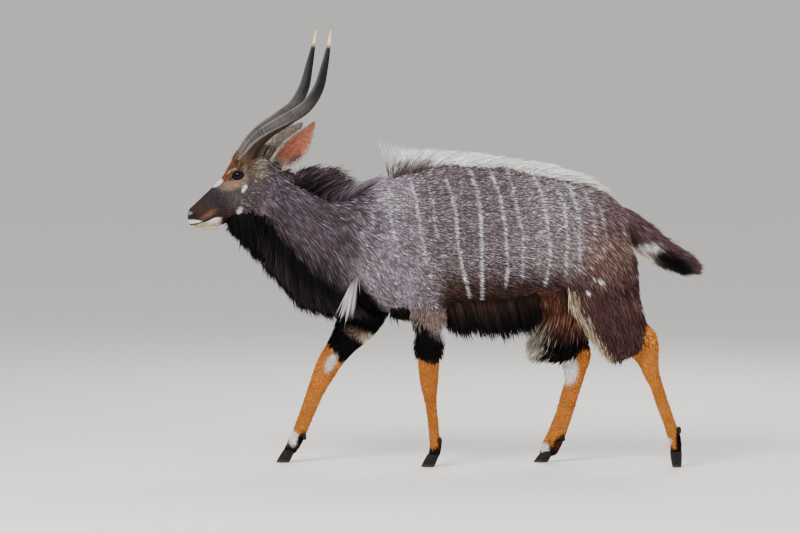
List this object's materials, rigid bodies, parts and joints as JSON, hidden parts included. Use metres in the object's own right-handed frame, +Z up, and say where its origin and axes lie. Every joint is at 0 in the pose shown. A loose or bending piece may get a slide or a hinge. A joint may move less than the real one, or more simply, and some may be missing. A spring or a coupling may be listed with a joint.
{
  "type": "nyala bull, still model",
  "caption": "Life-size still model of a nyala bull walking, with lyre-shaped horns, dorsal crest, throat and belly fringes and a bushy tail, standing on its own hooves.",
  "frame": {"origin": "middle of the whole model's plan outline, on the ground under the hooves", "axes": "+X from muzzle to tail, +Y from the animal's left side to its right side, +Z up"},
  "size_m": [1.969, 0.393, 1.6453],
  "materials": {
    "coat": "short matt fur",
    "long_hair": "long matt hair",
    "leg_coat": "short matt fur",
    "ear_skin": "thin skin with fine hair",
    "horn": "ridged horn, satin",
    "hoof": "dark horn, satin",
    "eye": "wet gloss"
  },
  "bodies": {
    "root": {"head": "coat", "ear_left": "ear_skin", "ear_right": "ear_skin", "eye_left": "eye", "eye_right": "eye", "horn_left": "horn", "horn_right": "horn", "neck": "coat", "forequarters": "coat", "barrel": "coat", "hindquarters": "coat", "foreleg_left": "leg_coat", "foreleg_right": "leg_coat", "thigh_left": "long_hair", "thigh_right": "long_hair", "hindleg_left": "leg_coat", "hindleg_right": "leg_coat", "hoof_fore_left": "hoof", "hoof_fore_right": "hoof", "hoof_hind_left": "hoof", "hoof_hind_right": "hoof", "tail": "long_hair"}
  },
  "joints": []
}
